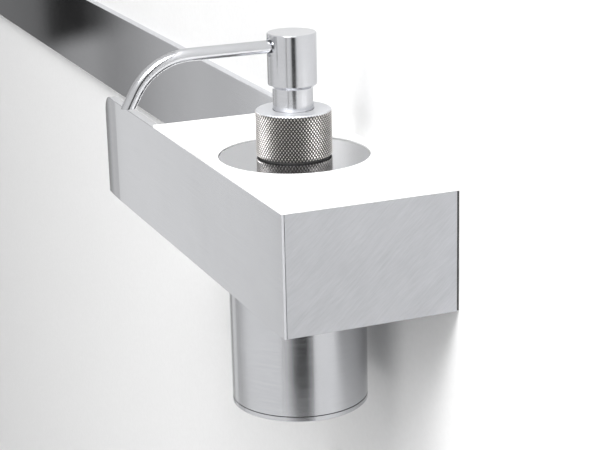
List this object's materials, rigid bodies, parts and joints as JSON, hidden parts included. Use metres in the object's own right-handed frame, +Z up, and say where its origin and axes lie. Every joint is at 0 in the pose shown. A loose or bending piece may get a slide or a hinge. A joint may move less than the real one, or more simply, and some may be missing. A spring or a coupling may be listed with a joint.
{
  "type": "wall mounted soap dispenser",
  "caption": "Flat-bar wall rail with a box and white top plate that carries a lift-out steel pump bottle with knurled collar and swivelling spout.",
  "frame": {"origin": "on the wall plane, at the centre of the four rail holes behind the bottle, at half the bars' height", "axes": "+Z up; +X along the wall towards the closed end of the box; +Y into the wall, so the room is on the -Y side"},
  "size_m": [1, 0.1347, 0.1944],
  "materials": {
    "satin_steel": "satin, brushed lengthways",
    "cross_brushed_steel": "satin, brushed across in arcs",
    "turned_steel": "fine turned satin",
    "knurled_steel": "diamond knurl",
    "polished_steel": "polished",
    "white_composite": "smooth white mineral composite",
    "black_rubber": "matt",
    "white_plastic": "moulded polypropylene",
    "clear_plastic": "translucent polyethylene tube",
    "spring_steel": "drawn stainless wire and ball"
  },
  "bodies": {
    "frame": {"wall_rail": "satin_steel", "front_bar": "satin_steel", "end_plate": "cross_brushed_steel", "wall_seal": "black_rubber", "top_plate": "white_composite", "carrier_tray": "satin_steel", "tray_screws": "spring_steel"},
    "bottle": {"bottle_body": "turned_steel", "bottle_base": "turned_steel", "base_seal": "black_rubber", "lid_disc": "polished_steel", "bottle_neck": "turned_steel", "collar_gasket": "black_rubber"},
    "pump_unit": {"closure_seal": "black_rubber", "neck_sleeve": "turned_steel", "stem_guide": "white_plastic", "pump_barrel": "white_plastic", "ball_cage": "white_plastic", "dip_tube": "clear_plastic", "pump_spring": "spring_steel"},
    "collar": {"collar": "knurled_steel"},
    "inlet_valve": {"inlet_ball": "spring_steel"},
    "plunger": {"stem": "white_plastic", "piston": "white_plastic"},
    "outlet_valve": {"outlet_ball": "spring_steel"},
    "head": {"head_insert": "white_plastic", "pump_head": "turned_steel", "spout_tube": "polished_steel"}
  },
  "joints": [
    {"name": "bottle_lift", "type": "slide", "parent": "frame", "child": "bottle", "axis": [0, 0, 1], "range_m": [0, 0.14]},
    {"name": "pump_unscrew", "type": "slide", "parent": "bottle", "child": "pump_unit", "axis": [0, 0, 1], "range_m": [0, 0.006]},
    {"name": "collar_turn", "type": "hinge", "parent": "pump_unit", "child": "collar", "pos_m": [0, -0.045, 0.0435], "axis": [0, 0, 1], "range_deg": [0, 1081]},
    {"name": "inlet_lift", "type": "slide", "parent": "pump_unit", "child": "inlet_valve", "axis": [0, 0, 1], "range_m": [0, 0.0012]},
    {"name": "head_press", "type": "slide", "parent": "pump_unit", "child": "plunger", "axis": [0, 0, -1], "range_m": [0, 0.01], "stiffness_N_per_m": 700, "springref_m": -0.006, "deforming": ["pump_spring"]},
    {"name": "outlet_lift", "type": "slide", "parent": "plunger", "child": "outlet_valve", "axis": [0, 0, 1], "range_m": [0, 0.001]},
    {"name": "head_swivel", "type": "hinge", "parent": "plunger", "child": "head", "pos_m": [0, -0.045, 0.075], "axis": [0, 0, 1], "continuous": true}
  ],
  "couplings": [
    {"joint": "collar_turn", "follows": "pump_unscrew", "rad_per_m": 3141.6}
  ]
}
